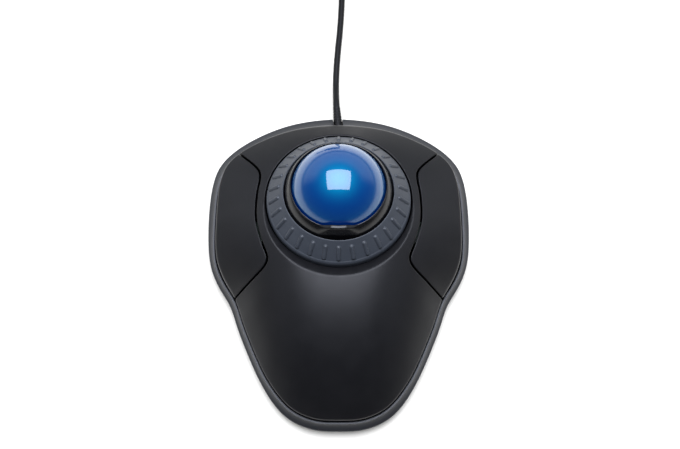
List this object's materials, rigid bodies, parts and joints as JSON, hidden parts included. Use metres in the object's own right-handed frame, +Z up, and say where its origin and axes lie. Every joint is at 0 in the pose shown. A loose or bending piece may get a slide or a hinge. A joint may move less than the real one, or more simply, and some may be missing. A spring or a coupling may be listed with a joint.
{
  "type": "trackball mouse",
  "caption": "Wired trackball mouse with a blue ball in a tilted cup, a ribbed scroll ring round it, two side buttons and a sloping palm rest on a flared tray.",
  "frame": {"origin": "on the table, under the middle of the case", "axes": "+Y towards the back, where the cable leaves; +Z up; +X to the user's right"},
  "size_m": [0.1216, 0.2645, 0.0555],
  "materials": {
    "cover": "soft-touch",
    "base": "satin",
    "ring": "satin",
    "bezel": "gloss",
    "ball": "pearl gloss",
    "inner": "matte",
    "steel": "bright",
    "board": "satin",
    "chip": "matte",
    "lens": "clear",
    "rubber": "matte",
    "cable": "satin",
    "label": "satin",
    "white": "matte"
  },
  "bodies": {
    "case": {"base_tray": "base", "top_cover": "cover", "ball_bezel": "bezel", "ball_cup": "inner", "bearing_1": "steel", "bearing_2": "steel", "bearing_3": "steel", "ring_carrier": "inner", "carrier_post_1": "inner", "carrier_post_2": "inner", "carrier_post_3": "inner", "main_board": "board", "optical_sensor": "chip", "sensor_lens": "lens", "controller_chip": "chip", "cable_connector": "white", "encoder_sensor": "chip", "switch_pedestal_left": "inner", "switch_board_left": "board", "switch_left": "chip", "switch_pedestal_right": "inner", "switch_board_right": "board", "switch_right": "chip", "foot_1": "rubber", "foot_2": "rubber", "foot_3": "rubber", "foot_4": "rubber", "label_plate": "label", "case_screw_1": "steel", "case_screw_2": "steel", "case_screw_3": "steel", "case_screw_4": "steel", "strain_relief": "cable", "cable_run": "cable", "cable_tail": "cable", "cable_coil": "cable", "cable_tie_1": "rubber", "cable_tie_2": "rubber", "plug_neck": "cable", "plug_body": "cable", "plug_shell": "steel", "plug_tongue": "white"},
    "ball": {"trackball": "ball"},
    "ring": {"scroll_ring": "ring", "encoder_ring": "inner"},
    "left_button": {"button_left": "cover"},
    "right_button": {"button_right": "cover"},
    "left_plunger": {"switch_plunger_left": "white"},
    "right_plunger": {"switch_plunger_right": "white"}
  },
  "joints": [
    {"name": "ball_spin", "type": "hinge", "parent": "case", "child": "ball", "pos_m": [0, 0.0238, 0.0355], "axis": [1, 0, 0], "continuous": true},
    {"name": "ring_spin", "type": "hinge", "parent": "case", "child": "ring", "pos_m": [0, 0.0238, 0.0355], "axis": [0, 0.1426, 0.9898], "continuous": true},
    {"name": "left_button_press", "type": "hinge", "parent": "case", "child": "left_button", "pos_m": [0, -0.012, 0.012], "axis": [-1, 0, 0], "range_deg": [0, 1], "stiffness_Nm_per_rad": 1.6, "springref_deg": -0.34},
    {"name": "right_button_press", "type": "hinge", "parent": "case", "child": "right_button", "pos_m": [0, -0.012, 0.012], "axis": [-1, 0, 0], "range_deg": [0, 1], "stiffness_Nm_per_rad": 1.6, "springref_deg": -0.34},
    {"name": "left_switch_travel", "type": "slide", "parent": "case", "child": "left_plunger", "axis": [0, 0, -1], "range_m": [0, 0.0004]},
    {"name": "right_switch_travel", "type": "slide", "parent": "case", "child": "right_plunger", "axis": [0, 0, -1], "range_m": [0, 0.0004]}
  ],
  "couplings": [
    {"joint": "left_switch_travel", "follows": "left_button_press", "m_per_rad": 0.022},
    {"joint": "right_switch_travel", "follows": "right_button_press", "m_per_rad": 0.022}
  ]
}
